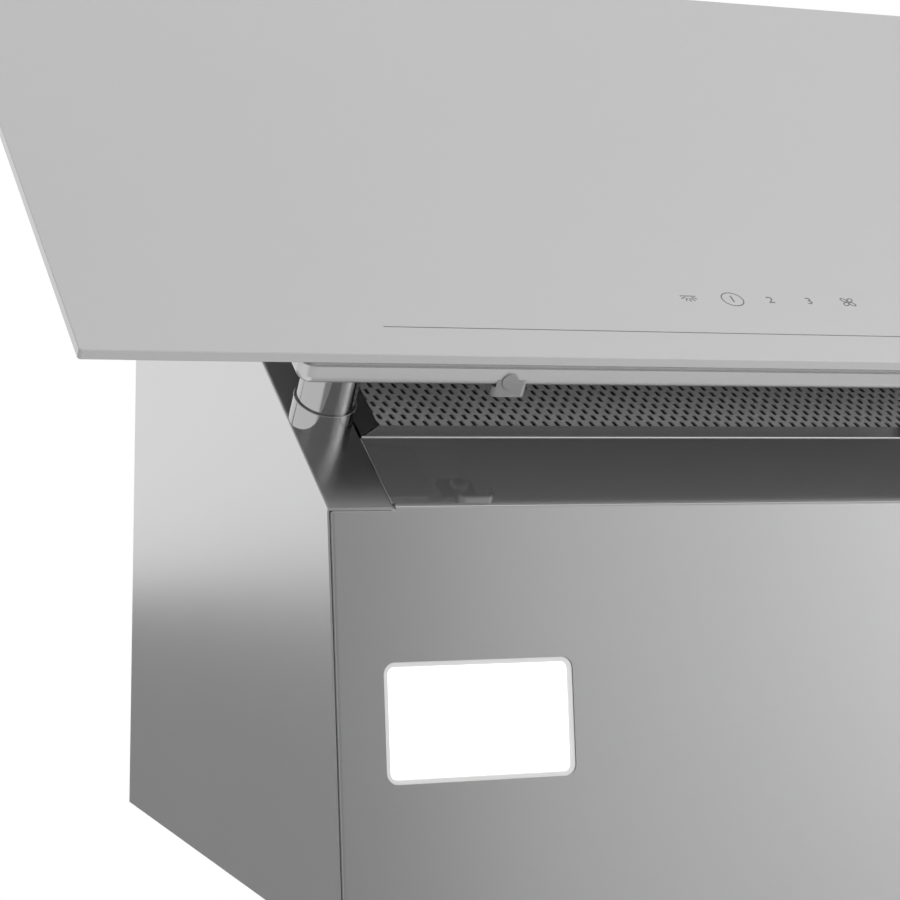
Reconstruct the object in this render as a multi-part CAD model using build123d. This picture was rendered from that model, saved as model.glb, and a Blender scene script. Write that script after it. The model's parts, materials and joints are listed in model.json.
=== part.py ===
from build123d import *

import math
import os

# Wall mount range hood with a slanted front. A glass panel on a support tray stands off from the
# front and slides towards it and away from it on four tubes. Millimetres, +Z up, +X to the right of
# someone who faces the hood. The wall is the plane Y = 0 and the hood stands out from it towards -Y.
# The origin is the centre of the four wall fixing holes. The model stores the glass panel lifted.

# Body
body_width = 624.0
body_height = 434.0
top_depth = 497.0
bottom_depth = 239.0
front_rise = 36.0
sheet = 1.2
flange = 12.0
bend_radius = 1.8
fold_gap = 0.6
strip_width = 38.4
seam_gap = 0.5
pan_gap = 0.1
pan_side_gap = 0.5
pan_radius = 2.5
pan_step = 2.2
pan_step_depth = 8.0
notch_width = 2.6
notch_height = 0.8
notch_top = 3.4
panel_edge = 0.9
flange_inset = 24.0
spare = 40.0

# Wall fixing
wall_hole_spacing_x = 440.0
wall_hole_spacing_z = 300.0
wall_hole_radius = 4.0

# Front panels and grease filter, measured up the slant from the front's lower edge
filter_bottom = 66.1
upper_panel_length = 63.6
filter_edge_gap = 1.9
filter_end_gap = 0.6
filter_depth = 17.4
bevel_start = 1.0
bevel_width = 14.6
bevel_depth = 3.0
rim_radius = 0.8
mitre_gap = 0.8
filter_face_gap = 0.3
filter_face_thickness = 1.0
filter_face_lap = 8.0
filter_wall = 1.2
filter_mesh_thickness = 3.0
ledge_width = 8.0
ledge_gap = 0.3
pivot_inset = 4.0
pivot_radius = 1.5
running_gap = 0.05
ear_thickness = 1.2
ear_gap = 0.3
ear_height = 12.0
ear_foot = 18.0
magnet_length = 40.0
magnet_height = 5.0
magnet_spread = 150.0

# Glass panel and its lifting gear
panel_width = 898.0
panel_height = 490.0
panel_thickness = 6.5
panel_start = 55.0
panel_corner = 2.0
panel_chamfer = 0.5
tray_half_width = 321.7
tray_start = 56.0
tray_length = 474.3
tray_lift = 42.3
tray_height = 16.2
tray_wall = 1.5
tray_corner = 8.5
tray_fold = 5.5
tray_slit = 3.3
glass_gap = 0.3
frame_inset = 5.8
frame_width = 14.0
frame_lip_inset = 3.3
frame_lip_height = 7.0
tube_radius = 17.2
tube_wall = 1.5
tube_inset = 19.4
lower_tube_at = 82.0
upper_tube_drop = 124.3
tube_hole_gap = 0.2
tube_reach = 44.0
foot_thickness = 1.5
foot_outer_margin = 5.6
foot_length = 96.5
foot_below = 20.0
foot_above = 29.7
foot_corner = 4.0
collar_radius = 18.6
collar_height = 15.8
collar_edge = 0.5
sleeve_radius = 18.05
sleeve_length = 45.0
rail_thickness = 2.0
touch_board_half_width = 75.0
touch_board_start = 104.0
touch_board_length = 34.0
touch_board_thickness = 1.6

# Catch strips under the tray's lower edge, each with a tip that covers part of the edge
catch_at = 201.2
catch_width = 22.4
catch_start = 5.3
catch_reach = 24.6
catch_sheet = 1.2
catch_corner = 5.0
tip_at = 193.4
tip_width = 22.4
tip_proud = 0.5
tip_depth = 8.5
tip_radius = 4.0
tip_drop = 6.1
button_at = 194.6
button_rise = 4.9
button_radius = 5.1
button_thickness = 1.0
button_edge = 0.3
catch_screw_at = 198.5
catch_screw_up = 74.1
catch_screw_head_radius = 5.7
catch_screw_head = 2.5
catch_screw_radius = 1.9
screw_gap = 0.1

# Lamps in the underside, measured from the wall along the panel
lamp_spread = 224.5
lamp_at = 122.4
lamp_width = 109.0
lamp_height = 61.6
lamp_corner = 4.0
lamp_recess = 2.5
lamp_thickness = 2.5
lamp_joint = 0.4
bezel_wall = 2.2
bezel_recess = 0.8
bezel_cut_gap = 0.3
bezel_flange = 4.0
bezel_flange_thickness = 2.0
bezel_depth = 9.0
lamp_ledge = 3.0
lamp_box_wall = 1.0
lamp_box_depth = 14.0
lamp_board_thickness = 1.6
lamp_board_margin = 5.0

# Blower
blower_axis_depth = 165.0
blower_drop = 184.0
blower_half_width = 75.0
scroll_radius = 118.0
outlet_width = 150.0
scroll_sheet = 1.2
outlet_lip = 10.0
inlet_radius = 66.0
inlet_lip = 4.0
wheel_radius = 80.0
wheel_inner_radius = 64.0
wheel_half_width = 56.0
wheel_ring = 2.0
wheel_sheet = 2.0
blade_count = 36
blade_thickness = 1.0
blade_angle = 35.0
hub_radius = 12.0
hub_length = 16.0
shaft_radius = 4.0
shaft_fit = 0.02
motor_radius = 45.0
motor_end_gap = 4.0
shaft_tail = 10.0
motor_edge = 3.0
spider_disc_radius = 34.0
spider_arm_width = 14.0
spider_ring_width = 10.0
spider_thickness = 2.0

# Duct collar on the top, with two flaps
duct_radius = 74.8
duct_wall = 1.2
duct_height = 56.0
duct_hole_gap = 0.6
duct_base_sheet = 1.2
duct_base_margin = 10.0
duct_base_corner = 6.0
flap_height = 18.0
flap_clearance = 1.2
flap_thickness = 1.2
flap_seat_width = 4.0
flap_seat_thickness = 1.2
flap_seat_gap = 0.3
flap_pin_radius = 1.5
flap_pin_spread = 4.0
knuckle_radius = 2.6
knuckle_length = 30.0
knuckle_at = 40.0
screw_radius = 2.0
screw_head_radius = 4.0
screw_head = 2.4
screw_length = 8.0
screw_inset = 5.0

# Electrics
box_left = 120.0
box_width = 160.0
box_drop = 47.0
box_height = 150.0
box_depth = 58.0
box_wall = 2.0
board_thickness = 1.6
board_stand = 6.0
board_margin = 8.0
terminal_width = 46.0
terminal_height = 18.0
terminal_depth = 20.0
terminal_margin = 10.0
gland_at = 230.0
gland_depth_at = 40.0
gland_radius = 8.0
gland_hole_gap = 0.1
gland_bore = 4.0
gland_nut_radius = 12.0
gland_nut_height = 5.0
gland_tail = 12.0
gland_top = 8.0

# Worked out from the sizes above
half_width = body_width / 2
z_top = body_height / 2
z_bottom = -body_height / 2
front_run = top_depth - bottom_depth
front_height = body_height - front_rise
front_length = math.hypot(front_run, front_height)
lean_out = front_run / front_length
lean_up = front_height / front_length
under_length = math.hypot(bottom_depth, front_rise)

# FRONT has u to the right, v up the slant and w out of the front face
FRONT = Plane(
    origin=(0, -bottom_depth, z_bottom + front_rise),
    x_dir=(1, 0, 0),
    z_dir=(0, -lean_up, -lean_out),
)
# UNDER has x to the right, y from the wall along the underside and z out of the underside
UNDER = Plane(
    origin=(0, 0, z_bottom),
    x_dir=(1, 0, 0),
    z_dir=(0, -front_rise / under_length, -bottom_depth / under_length),
)
BODY_OUTLINE = [
    (0, z_bottom),
    (-bottom_depth, z_bottom + front_rise),
    (-top_depth, z_top),
    (0, z_top),
]

side_inner = half_width - sheet
strip_inner = half_width - strip_width
panel_half = strip_inner - seam_gap
filter_half = strip_inner - filter_edge_gap
filter_top = front_length - upper_panel_length - filter_end_gap
upper_tube_at = front_length - upper_tube_drop
box_bottom = z_top - box_drop - box_height
bevel_inset = bevel_start + bevel_width
face_w = -bevel_depth - filter_wall - filter_face_gap
glass_back = tray_lift + tray_height
tube_at = half_width - tube_inset
tube_bore = tube_radius + running_gap


def block(x0, x1, y0, y1, z0, z1):
    """A box between two opposite corners."""
    place = Pos((x0 + x1) / 2, (y0 + y1) / 2, (z0 + z1) / 2)
    return place * Box(x1 - x0, y1 - y0, z1 - z0)


def rounded_block(width, height, radius, z0, z1, x=0.0, y=0.0):
    """A box whose four edges along Z are rounded, centred on x and y."""
    return extrude(Pos(x, y, z0) * RectangleRounded(width, height, radius), z1 - z0)


def rod(x, y, z0, z1, radius):
    """A cylinder along Z."""
    return Pos(x, y, (z0 + z1) / 2) * Cylinder(radius, z1 - z0)


def tube(x, y, z0, z1, outer, inner):
    """A hollow cylinder along Z."""
    return rod(x, y, z0, z1, outer) - rod(x, y, z0, z1, inner)


def rod_x(x0, x1, y, z, radius):
    """A cylinder along X."""
    return Pos((x0 + x1) / 2, y, z) * Rot(0, 90, 0) * Cylinder(radius, x1 - x0)


def prism(outline, x0, x1):
    """An outline of (y, z) points carried along X."""
    sketch = Plane.YZ.offset(x0) * Polygon(*outline, align=None)
    return extrude(sketch, x1 - x0, dir=(1, 0, 0))


def inset(outline, distances):
    """A convex outline with each edge moved inwards by its own distance, or outwards if negative."""
    count = len(outline)
    middle = Vector(
        sum(p[0] for p in outline) / count, sum(p[1] for p in outline) / count
    )
    lines = []
    for index, distance in enumerate(distances):
        start = Vector(*outline[index])
        along = (Vector(*outline[(index + 1) % count]) - start).normalized()
        inward = Vector(-along.Y, along.X)
        if inward.dot(middle - start) < 0:
            inward = inward * -1
        lines.append((start + inward * distance, along))
    points = []
    for index in range(count):
        (a, da), (b, db) = lines[index - 1], lines[index]
        step = ((b.X - a.X) * db.Y - (b.Y - a.Y) * db.X) / (da.X * db.Y - da.Y * db.X)
        points.append((a.X + da.X * step, a.Y + da.Y * step))
    return points


def front(shape):
    """Carries a shape from the slanted front's own axes into the part's."""
    return FRONT.location * shape


def under(shape):
    """Carries a shape from the underside's own axes into the part's."""
    return UNDER.location * shape


def mirrored(shape):
    """The other side's copy."""
    return mirror(shape, about=Plane.YZ)


def body_space(bottom=0.0, front_face=0.0, top=0.0, back=0.0, half=half_width):
    """The hood body's space, with each face moved inwards by its distance."""
    return prism(inset(BODY_OUTLINE, [bottom, front_face, top, back]), -half, half)


# Body shell


def side_panel():
    """Left side wall, folded round into the strip that carries the lifting tubes."""
    edge = half_width - strip_width
    whole = prism(BODY_OUTLINE, -half_width, -edge)
    inner = inset(BODY_OUTLINE, [-spare, sheet, -spare, -spare])
    panel = whole - prism(inner, -side_inner, -edge + spare)
    slant = Vector(0, -lean_out, lean_up)
    folds = {-half_width: bend_radius, -side_inner: bend_radius - sheet}
    for x, radius in folds.items():
        w = 0.0 if x == -half_width else -sheet
        rest = FRONT.origin.Y * lean_up + FRONT.origin.Z * lean_out
        fold = [
            e
            for e in panel.edges()
            if abs(abs((e % 0.5).dot(slant)) - 1) < 1e-6
            and abs((e @ 0.5).X - x) < 1e-3
            and abs(rest - (e @ 0.5).Y * lean_up - (e @ 0.5).Z * lean_out - w) < 1e-3
        ]
        panel = fillet(fold, radius)
    for v in (lower_tube_at, upper_tube_at):
        panel -= front(rod(-tube_at, v, -spare, spare, tube_radius + tube_hole_gap))
    return panel


def back_panel():
    """Flat sheet on the wall, with folded sides and the four wall holes."""
    panel = block(-side_inner, side_inner, -sheet, 0, z_bottom, z_top)
    low, high = z_bottom + flange_inset, z_top - flange_inset
    for x0, x1 in ((-side_inner, -side_inner + sheet), (side_inner - sheet, side_inner)):
        panel += block(x0, x1, -flange, 0, low, high)
    for x in (-wall_hole_spacing_x / 2, wall_hole_spacing_x / 2):
        for z in (-wall_hole_spacing_z / 2, wall_hole_spacing_z / 2):
            hole = Pos(x, 0, z) * Rot(90, 0, 0) * Cylinder(wall_hole_radius, flange)
            panel -= hole
    return panel


def duct_screw_places():
    """Where four screws hold the duct collar's base, the top and the blower's lip together."""
    reach_x = blower_half_width + screw_inset
    reach_y = outlet_width / 2 + screw_inset
    return [(sx * reach_x, -outlet_middle + sy * reach_y) for sx in (-1, 1) for sy in (-1, 1)]


def top_panel():
    """Top sheet with folded sides, the duct's hole and the cable gland's hole."""
    lid = body_space(front_face=sheet + fold_gap, back=sheet, half=side_inner)
    panel = lid & block(-side_inner, side_inner, -top_depth, 0, z_top - sheet, z_top)
    depth_end = top_depth - flange_inset - flange
    for x0, x1 in ((-side_inner, -side_inner + sheet), (side_inner - sheet, side_inner)):
        panel += block(x0, x1, -depth_end, -flange_inset, z_top - flange, z_top)
    panel -= rod(0, -outlet_middle, z_top - flange, z_top + flange, duct_radius + duct_hole_gap)
    for x, y in duct_screw_places():
        panel -= rod(x, y, z_top - flange, z_top + flange, screw_radius + screw_gap)
    hole = gland_radius + gland_hole_gap
    return panel - rod(gland_at, -gland_depth_at, z_top - flange, z_top + flange, hole)


def lamp_places():
    """Centres of the two lamps along X."""
    return (-lamp_spread, lamp_spread)


def trough(outline, half, radius):
    """An outline carried along X, with the edges round its first two sides' faces rounded."""
    shape = prism(outline, -half, half)
    back, corner, high = outline[:3]
    middles = [corner]
    for start, end in ((back, corner), (corner, high)):
        middles.append(((start[0] + end[0]) / 2, (start[1] + end[1]) / 2))
    folds = []
    for edge in shape.edges():
        place = edge @ 0.5
        if any(math.dist((place.Y, place.Z), middle) < 1e-3 for middle in middles):
            folds.append(edge)
    return fillet(folds, radius)


def lower_bend(half):
    """The pan's bend where it comes flush with the strips, up to the lower panel's face."""
    bend = None
    for drop in (0, sheet):
        solid = body_space(bottom=drop, front_face=drop, half=half)
        corner = [
            e
            for e in solid.edges().filter_by(Axis.X)
            if (e @ 0.5).Z < 0 and (e @ 0.5).Y < -bottom_depth / 2
        ]
        solid = fillet(corner, pan_radius - drop)
        bend = bend - solid if bend else solid
    keep = block(-half, half, -pan_step_depth, notch_top, -pan_step_depth, 0)
    return bend & front(keep)


def lower_face():
    """The panel below the filter, folded back along its top into the filter's ledge."""
    top = filter_bottom - filter_end_gap
    depth = filter_depth + ledge_gap
    face = block(-panel_half, panel_half, notch_top, top, -sheet, 0)
    outline = face.faces().sort_by(Axis.Z)[-1].edges()
    face = fillet(outline.sort_by(Axis.Y)[1:], panel_edge)
    face += block(-panel_half, panel_half, top - sheet, top, -depth - sheet, -sheet)
    face += block(
        -panel_half, panel_half, top - sheet, top + ledge_width, -depth - sheet, -depth
    )
    return face


def underside_panel():
    """Bottom pan: folded up at the sides, bent up in front into the panel below the filter."""
    half = side_inner - pan_side_gap
    start, end = inset(BODY_OUTLINE, [0, sheet + pan_gap, 0, sheet])[:2]
    fold_top = (end[0] - lean_out * flange, end[1] + lean_up * flange)
    outline = [start, end, fold_top, (start[0], start[1] + flange)]
    hollow = inset(outline, [sheet, sheet, -spare, -spare])
    pan = trough(outline, half, pan_radius) - trough(hollow, half - sheet, pan_radius - sheet)
    step_half = strip_inner - pan_step
    step = block(-step_half, step_half, -pan_step_depth, spare, -pan_step_depth, spare)
    pan = pan - front(step) + lower_bend(step_half) + front(lower_face())
    for side in (-1, 1):
        notch = Pos(side * (step_half + notch_width / 2 - notch_height), 0, 0) * block(
            -notch_width / 2, notch_width / 2, notch_top - notch_height, notch_top, -sheet, 0
        )
        pan -= front(notch)
    width = lamp_width + 2 * (lamp_joint + bezel_wall + bezel_cut_gap)
    height = lamp_height + 2 * (lamp_joint + bezel_wall + bezel_cut_gap)
    corner = lamp_corner + lamp_joint + bezel_wall
    for x in lamp_places():
        pan -= under(rounded_block(width, height, corner, -flange, flange, x, lamp_at))
    return pan


def front_upper_panel():
    """Polished panel above the filter, folded back along its lower edge."""
    start = filter_top + filter_end_gap
    half = panel_half - ear_foot - flange
    panel = block(-panel_half, panel_half, start, front_length + spare, -sheet, 0)
    panel += block(-half, half, start, start + sheet, -flange, 0)
    return front(panel) & body_space(half=panel_half)


def filter_hinge_ear():
    """Left hinge ear: a foot under the upper panel and a plate that holds the filter's pin."""
    outer = filter_half + ear_gap + ear_thickness
    low = filter_top - ear_height
    foot_top = filter_top + filter_end_gap + ear_height
    foot_low = filter_top + filter_end_gap
    ear = block(-outer, -outer + ear_thickness, low, foot_top, -ear_height - sheet, -sheet)
    ear += block(-outer, -outer + ear_foot, foot_low, foot_top, -2 * sheet, -sheet)
    hole = rod_x(-outer - spare, 0, filter_top - pivot_inset, -pivot_inset, pivot_radius + running_gap)
    return front(ear - hole)


def filter_magnets():
    """Two magnets on the ledge that hold the filter's lower edge."""
    top = filter_bottom - filter_end_gap - sheet
    pair = [
        block(x - magnet_length / 2, x + magnet_length / 2, top - magnet_height, top, -flange, -sheet)
        for x in (-magnet_spread, magnet_spread)
    ]
    return front(Compound(children=pair))


# Grease filter, which tilts out about its upper edge


def filter_frame():
    """Mitred surround that slopes in to the perforated face, with a pivot pin at each upper end."""
    low, high = filter_bottom, filter_top
    wall = filter_wall
    outer = block(-filter_half, filter_half, low, high, -filter_depth, 0)
    outer = fillet(outer.faces().sort_by(Axis.Z)[-1].edges(), rim_radius)
    frame = outer - block(
        wall - filter_half, filter_half - wall, low + wall, high - wall, -filter_depth, 0
    )

    def sheet_under(drop):
        wide = block_face(bevel_start, -drop)
        narrow = block_face(bevel_inset, -drop - bevel_depth)
        return loft([wide, narrow])

    def block_face(margin, w):
        size = (2 * (filter_half - margin), high - low - 2 * margin)
        return Pos(0, (low + high) / 2, w) * Rectangle(*size)

    rim = sheet_under(filter_wall) + extrude(block_face(bevel_start, -filter_wall), filter_wall)
    mouth = sheet_under(0) + extrude(
        block_face(bevel_inset, -bevel_depth - filter_wall), filter_wall
    )
    frame += rim - mouth
    reach = math.sqrt(2) * (bevel_inset - filter_wall + mitre_gap)
    for su, v, turn in ((-1, low, 45), (1, low, 135), (-1, high, -45), (1, high, -135)):
        sv = 1 if v == low else -1
        slot = Pos(reach / 2, 0, 0) * Box(reach, mitre_gap, 2 * (bevel_depth + 2 * filter_wall))
        corner = Pos(su * (filter_half - filter_wall), v + sv * filter_wall, 0)
        frame -= corner * Rot(0, 0, turn) * slot
    pin_end = filter_half + ear_gap + ear_thickness
    for x0, x1 in ((-pin_end, -filter_half), (filter_half, pin_end)):
        frame += rod_x(x0, x1, high - pivot_inset, -pivot_inset, pivot_radius)
    return front(frame)


def filter_inside(margin, w0, w1):
    """A plate inside the filter's walls."""
    half = filter_half - filter_wall - margin
    low = filter_bottom + filter_wall + margin
    high = filter_top - filter_wall - margin
    return front(block(-half, half, low, high, w0, w1))


def filter_face():
    """Perforated front plate of the filter."""
    half = filter_half - bevel_inset + filter_face_lap
    low = filter_bottom + bevel_inset - filter_face_lap
    high = filter_top - bevel_inset + filter_face_lap
    return front(block(-half, half, low, high, face_w - filter_face_thickness, face_w))


def filter_mesh():
    """Layers of aluminium mesh behind the face."""
    top = face_w - filter_face_thickness
    return filter_inside(0, top - filter_mesh_thickness, top)


def filter_back():
    """Back plate of the filter."""
    return filter_inside(0, -filter_depth, -filter_depth + filter_wall)


# Lifting gear in the body


def guide_collar(v):
    """Left collar on the strip, round a lifting tube."""
    collar = tube(-tube_at, v, 0, collar_height, collar_radius, tube_bore)
    rims = collar.edges().filter_by(GeomType.CIRCLE).group_by(Axis.Z)[-1]
    return front(fillet(rims.sort_by(SortBy.RADIUS)[-1], collar_edge))


def guide_rail():
    """Left rail on the side wall's inside, with a sleeve for each lifting tube."""
    top = -sheet - fold_gap
    low = top - sleeve_length
    rail = block(-side_inner, -side_inner + rail_thickness, lower_tube_at, upper_tube_at, low, top)
    for v in (lower_tube_at, upper_tube_at):
        rail += rod(-tube_at, v, low, top, sleeve_radius)
    for v in (lower_tube_at, upper_tube_at):
        rail -= rod(-tube_at, v, low, top, tube_bore)
    return front(rail)


# Glass panel, tray and tubes, which slide together


def lift_tube(v):
    """Left lifting tube with the plate welded to it that lies under the tray."""
    foot_bottom = tray_lift - foot_thickness
    outer = tray_half_width - foot_outer_margin
    plate = rounded_block(
        foot_length,
        foot_below + foot_above,
        foot_corner,
        foot_bottom,
        tray_lift,
        -outer + foot_length / 2,
        v + (foot_above - foot_below) / 2,
    )
    stem = rod(-tube_at, v, -tube_reach, tray_lift, tube_radius)
    bore = rod(-tube_at, v, -tube_reach - spare, foot_bottom, tube_radius - tube_wall)
    return front(plate + stem - bore)


def tray_space(wall, top):
    """The tray's outer space, or with a wall the space inside it, up to a height."""
    space = rounded_block(
        2 * (tray_half_width - wall),
        tray_length - 2 * wall,
        tray_corner - wall,
        tray_lift + wall,
        top,
        0,
        tray_start + tray_length / 2,
    )
    return fillet(space.edges().group_by(Axis.Z)[0], tray_fold - wall)


def support_tray():
    """Pan behind the glass with a wide fold round its floor. Its lower wall is cut back to a slit."""
    top = glass_back - glass_gap
    pan = tray_space(0, top) - tray_space(tray_wall, top)
    low, high = tray_start - spare, tray_start + tray_corner
    pan -= block(-half_width - spare, half_width + spare, low, high, glass_back - tray_slit, top)
    for u in (-catch_screw_at, catch_screw_at):
        hole = catch_screw_radius + screw_gap
        pan -= rod(u, catch_screw_up, tray_lift - spare, tray_lift + tray_wall, hole)
    return front(pan)


def frame_space(margin, w0, w1):
    """A rounded block behind the glass, its sides a margin inside the tray's."""
    return rounded_block(
        2 * (tray_half_width - margin),
        tray_length - 2 * margin,
        tray_corner - frame_lip_inset,
        w0,
        w1,
        0,
        tray_start + tray_length / 2,
    )


def glass_frame():
    """Folded frame that holds the glass up from the tray's floor, with a lip behind the slit."""
    floor, wall = tray_lift + tray_wall, tray_wall
    lip_low, under_glass = glass_back - frame_lip_height, glass_back - tray_wall
    channel = frame_space(frame_inset, floor, glass_back)
    channel -= frame_space(frame_inset + wall, floor + wall, under_glass)
    lip = frame_space(frame_lip_inset, lip_low, glass_back)
    lip -= frame_space(frame_lip_inset + wall, lip_low, under_glass)
    window = frame_space(frame_inset + frame_width, floor, glass_back)
    return front(channel + lip - window)


def glass_panel():
    """Back-painted glass with polished edges."""
    middle = panel_start + panel_height / 2
    top = glass_back + panel_thickness
    pane = rounded_block(panel_width, panel_height, panel_corner, glass_back, top, 0, middle)
    rims = pane.edges().group_by(Axis.Z)
    return front(chamfer(rims[0] + rims[-1], panel_chamfer))


def touch_board():
    """Touch sensor board against the back of the glass."""
    low, high = touch_board_start, touch_board_start + touch_board_length
    w0 = glass_back - touch_board_thickness
    board = block(-touch_board_half_width, touch_board_half_width, low, high, w0, glass_back)
    return front(board)


def touch_carrier():
    """Carrier that holds the touch board up from the tray."""
    low, high = touch_board_start, touch_board_start + touch_board_length
    half, floor = touch_board_half_width, tray_lift + tray_wall
    top = glass_back - touch_board_thickness
    wall = tray_wall
    carrier = block(-half, half, low, high, floor, top)
    return front(carrier - block(-half + wall, half - wall, low + wall, high - wall, floor + wall, top))


def tip_space(wall, w0, w1):
    """The space of the left tip with its two rounded corners, or with a wall the space inside it."""
    half = tip_width / 2 - wall
    face = tray_start - tip_proud
    space = block(-tip_at - half, -tip_at + half, face + wall, face + tip_depth, w0, w1)
    return fillet(space.edges().filter_by(Axis.Z).group_by(Axis.Y)[0], tip_radius - wall)


def catch_strip():
    """Left catch strip: a foot under the tray and a tip folded down in front, open at its back."""
    roof = tray_lift - catch_sheet
    low, high = tray_start + catch_start, tray_start + catch_reach
    left, right = -catch_at - catch_width / 2, -catch_at + catch_width / 2
    foot = block(left, right, low, high, roof, tray_lift)
    foot = fillet(foot.edges().filter_by(Axis.Z).group_by(Axis.Y)[-1], catch_corner)
    foot -= rod(-catch_screw_at, catch_screw_up, 0, tray_lift, catch_screw_radius + screw_gap)
    tip_low = tray_lift - tip_drop
    tip = tip_space(0, tip_low, tray_lift + tray_fold) - tip_space(catch_sheet, tip_low, roof)
    tray_side = block(-half_width, 0, tray_start, tray_start + spare, tray_lift, glass_back)
    return front(foot + tip - tray_side)


def catch_buttons():
    """Round buttons on the catch strips' tips."""
    face = tray_start - tip_proud
    disc = Rot(90, 0, 0) * Cylinder(button_radius, button_thickness)
    disc = fillet(disc.edges().group_by(Axis.Y)[0], button_edge)
    height = tray_lift + button_rise
    pair = [Pos(u, face - button_thickness / 2, height) * disc for u in (-button_at, button_at)]
    return front(Compound(children=pair))


def catch_screws():
    """Screws that hold the catch strips to the tray."""
    screws = []
    for u in (-catch_screw_at, catch_screw_at):
        head_top = tray_lift - catch_sheet
        head_low = head_top - catch_screw_head
        head = rod(u, catch_screw_up, head_low, head_top, catch_screw_head_radius)
        shank_top = tray_lift + tray_wall
        screws.append(head + rod(u, catch_screw_up, head_top, shank_top, catch_screw_radius))
    return front(Compound(children=screws))


# Lamps


def lamp_plate(margin, z0, z1):
    """A rounded plate on the left lamp's centre, larger than the lens by a margin."""
    width, height = lamp_width + 2 * margin, lamp_height + 2 * margin
    corner = lamp_corner + margin
    return rounded_block(width, height, corner, z0, z1, -lamp_spread, lamp_at)


def led_bezel():
    """Bezel round the lens, held behind the underside sheet by its flange."""
    outer = lamp_joint + bezel_wall
    ring = lamp_plate(outer, -bezel_depth, -bezel_recess)
    flange_back = -sheet - bezel_flange_thickness
    ring += lamp_plate(outer + bezel_flange, flange_back, -sheet)
    ring -= lamp_plate(lamp_joint, -lamp_recess - lamp_thickness, -bezel_recess)
    return under(ring - lamp_plate(-lamp_ledge, -bezel_depth, 0))


def led_diffuser():
    """White lens of the lamp."""
    return under(lamp_plate(0, -lamp_recess - lamp_thickness, -lamp_recess))


def led_housing():
    """Box over the lamp board."""
    top = -bezel_depth - lamp_box_depth
    outer = lamp_joint + bezel_wall
    box = lamp_plate(outer, top, -bezel_depth)
    inner = lamp_plate(outer - lamp_box_wall, top + lamp_box_wall, -bezel_depth)
    return under(box - inner)


def led_board():
    """Board with the light sources, on the box's floor."""
    floor = -bezel_depth - lamp_box_depth + lamp_box_wall
    width, height = lamp_width - 2 * lamp_board_margin, lamp_height - 2 * lamp_board_margin
    top = floor + lamp_board_thickness
    return under(rounded_block(width, height, lamp_corner, floor, top, -lamp_spread, lamp_at))


# Blower

blower_z = z_top - blower_drop
outlet_back = blower_axis_depth - scroll_radius
outlet_middle = outlet_back + outlet_width / 2
lip_top = z_top - sheet
scroll_top = lip_top - scroll_sheet


def scroll_outline(margin, top):
    """The scroll's side view: a round casing that runs straight up into the outlet."""
    radius = scroll_radius - margin
    casing = Pos(-blower_axis_depth, blower_z) * Circle(radius)
    y0 = -outlet_back - outlet_width + margin
    y1 = -outlet_back - margin
    riser = Pos((y0 + y1) / 2, (blower_z + top) / 2) * Rectangle(y1 - y0, top - blower_z)
    return casing + riser


def scroll_solid(margin, x0, x1, top):
    """The scroll's outline carried along X."""
    sketch = Plane.YZ.offset(x0) * scroll_outline(margin, top)
    return extrude(sketch, x1 - x0, dir=(1, 0, 0))


def blower_scroll():
    """Casing sheet with the lip that is screwed under the top panel."""
    half = blower_half_width - scroll_sheet
    wrap = scroll_solid(0, -half, half, scroll_top)
    lip_half = blower_half_width + outlet_lip
    y0 = -outlet_back - outlet_width - outlet_lip
    lip = block(-lip_half, lip_half, y0, -outlet_back + outlet_lip, scroll_top, lip_top)
    mouth = block(
        -half,
        half,
        -outlet_back - outlet_width + scroll_sheet,
        -outlet_back - scroll_sheet,
        scroll_top,
        lip_top,
    )
    lip -= mouth
    for x, y in duct_screw_places():
        lip -= rod(x, y, scroll_top - flange, z_top, screw_radius + screw_gap)
    return wrap - scroll_solid(scroll_sheet, -half, half, scroll_top) + lip


def blower_side():
    """Left side plate of the blower with a rolled inlet."""
    x0, x1 = -blower_half_width, -blower_half_width + scroll_sheet
    plate = scroll_solid(0, x0, x1, scroll_top)
    y, z = -blower_axis_depth, blower_z
    plate += rod_x(x0, x0 + inlet_lip, y, z, inlet_radius + scroll_sheet)
    return plate - rod_x(x0 - spare, x1 + spare, y, z, inlet_radius)


def motor_bracket():
    """Three-armed bracket on the left inlet."""
    y, z = -blower_axis_depth, blower_z
    x1 = -blower_half_width
    x0 = x1 - spider_thickness
    ring_outer = inlet_radius + spider_ring_width
    bracket = rod_x(x0, x1, y, z, ring_outer) - rod_x(x0, x1, y, z, inlet_radius)
    bracket += rod_x(x0, x1, y, z, spider_disc_radius)
    for turn in (90, 210, 330):
        arm = Pos(inlet_radius / 2, 0, 0) * Box(
            inlet_radius + spider_ring_width, spider_arm_width, spider_thickness
        )
        bracket += Pos((x0 + x1) / 2, y, z) * Rot(0, 90, 0) * Rot(0, 0, turn) * arm
    return bracket - rod_x(x0 - spare, x1 + spare, y, z, shaft_radius + running_gap)


def motor_body():
    """Motor can inside the wheel, on the bracket's disc."""
    y, z = -blower_axis_depth, blower_z
    can = rod_x(-blower_half_width, -wheel_sheet / 2 - motor_end_gap, y, z, motor_radius)
    can = fillet(can.edges().group_by(Axis.X)[-1], motor_edge)
    return can - rod_x(-half_width, half_width, y, z, shaft_radius + running_gap)


def motor_shaft():
    """Shaft from behind the bracket to the wheel's hub."""
    x0 = -blower_half_width - spider_thickness
    y, z = -blower_axis_depth, blower_z
    shaft = rod_x(x0, hub_length, y, z, shaft_radius)
    return shaft + rod_x(hub_length, hub_length + shaft_tail, y, z, 2 * shaft_radius)


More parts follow.
